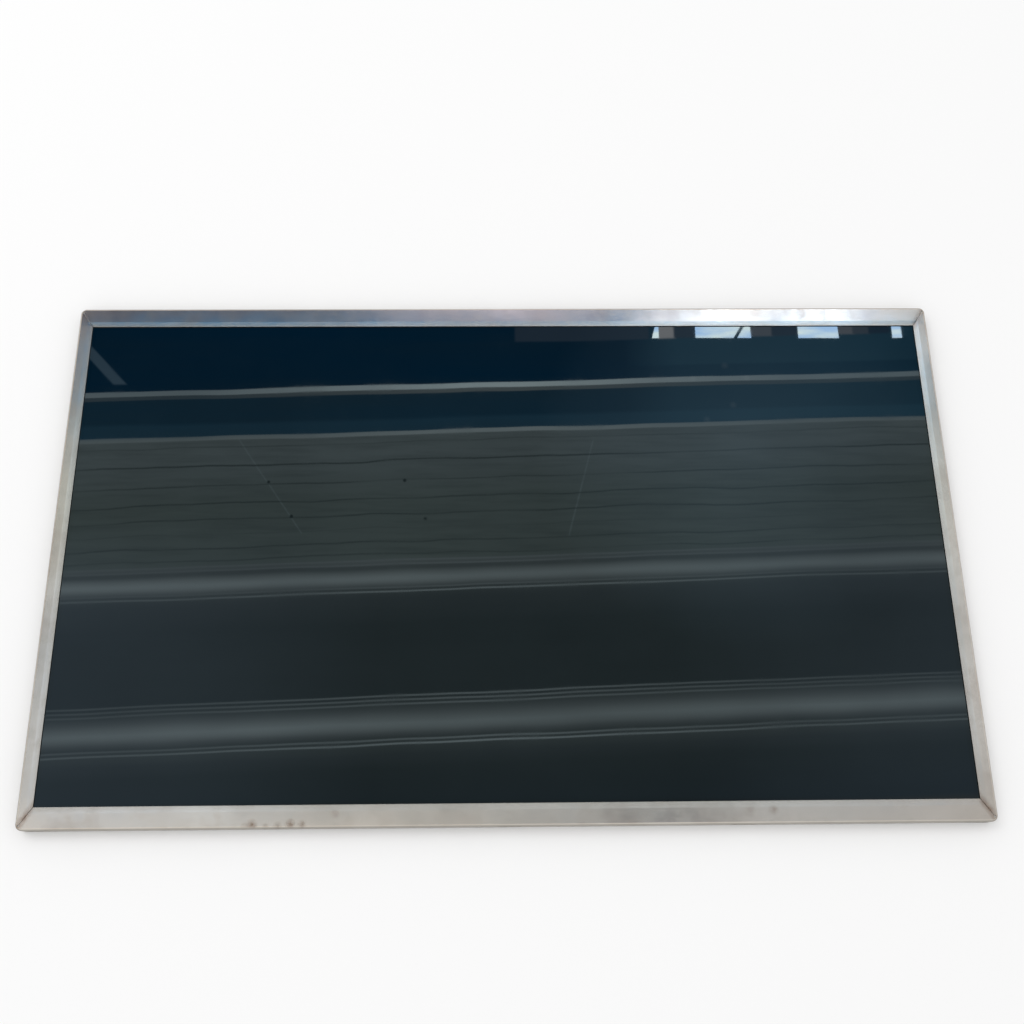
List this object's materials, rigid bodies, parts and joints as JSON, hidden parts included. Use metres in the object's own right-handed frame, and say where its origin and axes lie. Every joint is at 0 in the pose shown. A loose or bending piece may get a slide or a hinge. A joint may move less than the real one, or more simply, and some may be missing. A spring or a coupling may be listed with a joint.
{
  "type": "laptop screen panel",
  "caption": "Flat rectangular laptop screen panel: a glossy dark display in a thin folded steel bezel, with a drive board and signal socket along the bottom of its back.",
  "frame": {"origin": "on the resting plane, under the middle of the outline", "axes": "+X along the width, to the right when facing the screen; +Y to the picture's top edge; +Z out of the screen"},
  "size_m": [0.3236, 0.192, 0.0052],
  "materials": {
    "bezel_steel": "satin stainless sheet with faint grain and small brown stains",
    "screen_film": "very glossy dark film, switched off",
    "cell_glass": "clear thin glass",
    "rear_film": "dark polarizing film",
    "black_tape": "matt black adhesive tape",
    "diffuser_film": "hazy white film",
    "prism_film": "clear ridged film",
    "clear_acrylic": "clear acrylic",
    "reflector_white": "satin white film",
    "frame_plastic": "fine matt white moulded plastic",
    "rail_steel": "plain rolled steel",
    "bracket_aluminium": "rolled aluminium sheet",
    "strip_flex": "white coated flexible board",
    "diode_resin": "white body with a yellow lens",
    "board_laminate": "green solder mask",
    "driver_flex": "amber polyimide with copper tracks",
    "bare_silicon": "polished dark silicon",
    "socket_plastic": "ivory moulded plastic",
    "socket_steel": "bright pressed steel",
    "contact_plating": "thin gold plating",
    "chip_resin": "matt black moulded resin",
    "ferrite": "dark grey ferrite",
    "latch_plastic": "black moulded plastic",
    "capacitor_ceramic": "tan ceramic with tinned ends",
    "resistor_ceramic": "black glaze with tinned ends"
  },
  "bodies": {
    "root": {"front_bezel": "bezel_steel", "front_polarizer": "screen_film", "colour_filter_glass": "cell_glass", "transistor_array_glass": "cell_glass", "rear_polarizer": "rear_film", "cell_rim_tape": "black_tape", "upper_diffuser_sheet": "diffuser_film", "upper_prism_sheet": "prism_film", "lower_prism_sheet": "prism_film", "lower_diffuser_sheet": "diffuser_film", "light_guide_plate": "clear_acrylic", "reflector_sheet": "reflector_white", "moulded_frame": "frame_plastic", "left_side_rail": "rail_steel", "right_side_rail": "rail_steel", "light_bar_bracket": "bracket_aluminium", "light_bar_strip": "strip_flex", "light_diodes": "diode_resin", "drive_board": "board_laminate", "driver_films": "driver_flex", "driver_chips": "bare_silicon", "signal_socket_housing": "socket_plastic", "signal_socket_shell": "socket_steel", "signal_socket_contacts": "contact_plating", "timing_controller_chip": "chip_resin", "panel_power_chip": "chip_resin", "light_bar_driver_chip": "chip_resin", "memory_chip": "chip_resin", "power_coils": "ferrite", "light_bar_socket_body": "socket_plastic", "light_bar_socket_latch": "latch_plastic", "ceramic_capacitors": "capacitor_ceramic", "chip_resistors": "resistor_ceramic"}
  },
  "joints": []
}
